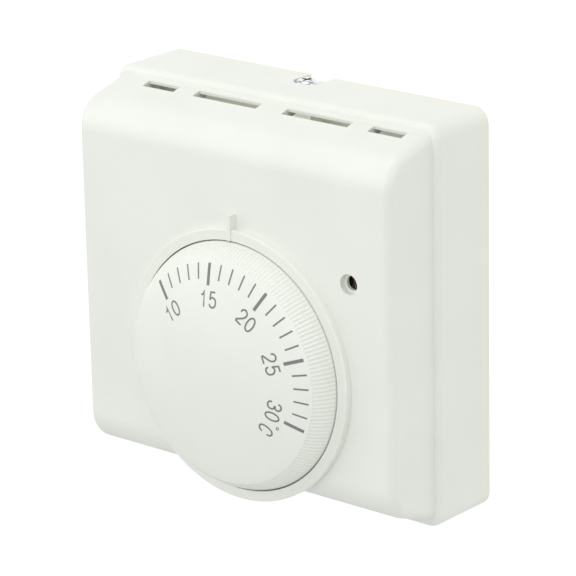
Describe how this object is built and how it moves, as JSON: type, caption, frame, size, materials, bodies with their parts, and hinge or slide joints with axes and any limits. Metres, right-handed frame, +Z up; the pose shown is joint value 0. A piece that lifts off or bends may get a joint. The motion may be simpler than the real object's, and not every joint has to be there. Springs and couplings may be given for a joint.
{
  "type": "wall thermostat",
  "caption": "Square wall-mounted room thermostat: moulded cover with vents, domed round setting dial, indicator hole, and the capsule and snap switch inside.",
  "frame": {"origin": "centre of the back face, on the wall", "axes": "+X to the right seen from the front, +Y into the wall, +Z up"},
  "size_m": [0.083, 0.0395, 0.0833],
  "materials": {
    "cover": "smooth satin moulded, off-white",
    "base": "satin moulded, off-white",
    "dial": "satin moulded, off-white, grey printed scale",
    "chrome": "bright plated",
    "steel": "zinc plated",
    "spring_steel": "blued spring steel",
    "brass": "machined",
    "copper": "copper alloy",
    "silver": "fine silver",
    "capsule": "pressed bronze",
    "phenolic": "dark brown moulding",
    "plunger": "red moulding",
    "terminal": "cream moulding",
    "glass": "clear glass",
    "resistor": "lacquered, tan"
  },
  "bodies": {
    "housing": {"front_cover": "cover", "base_plate": "base", "cover_screw": "chrome", "cover_screw_nut": "steel", "spindle_bush": "brass", "bridge_bracket": "steel", "bracket_screws": "steel", "switch_housing": "phenolic", "switch_lid": "phenolic", "switch_screws": "steel", "fixed_contact": "silver", "blade_anchor": "brass", "terminal_block": "terminal", "terminal_clamps": "brass", "terminal_screws": "steel", "bus_strips": "brass", "neon_glass": "glass", "neon_electrodes": "steel", "neon_leads": "steel", "neon_holder": "base", "neon_resistor": "resistor", "accelerator_resistor": "resistor", "accelerator_leads": "steel", "earth_terminal": "brass", "earth_screw": "steel"},
    "dial": {"dial_knob": "dial", "dial_spindle": "brass", "spindle_circlip": "steel", "dial_friction_washer": "spring_steel"},
    "capsule": {"capsule_front_disc": "capsule", "capsule_rear_disc": "capsule", "capsule_nut": "brass", "capsule_fill_stub": "copper", "capsule_guide": "steel"},
    "plunger": {"switch_plunger": "plunger"},
    "blade": {"contact_blade": "copper", "moving_contact": "silver"}
  },
  "joints": [
    {"name": "dial_turn", "type": "hinge", "parent": "housing", "child": "dial", "pos_m": [0.0023, 0, -0.0109], "axis": [0, 1, 0], "range_deg": [-110.3, 44.2]},
    {"name": "capsule_slide", "type": "slide", "parent": "housing", "child": "capsule", "axis": [0, 1, 0], "range_m": [-0.00095, 0.0004]},
    {"name": "plunger_press", "type": "slide", "parent": "housing", "child": "plunger", "axis": [0, 1, 0], "range_m": [0, 0.0006], "stiffness_N_per_m": 400, "springref_m": -0.0005},
    {"name": "blade_swing", "type": "hinge", "parent": "housing", "child": "blade", "pos_m": [-0.0065, -0.00555, -0.0109], "axis": [0, 0, 1], "range_deg": [-0.05, 3.1]}
  ],
  "couplings": [
    {"joint": "capsule_slide", "follows": "dial_turn", "m_per_rad": 0.00047746},
    {"joint": "blade_swing", "follows": "plunger_press", "rad_per_m": 87.266}
  ]
}
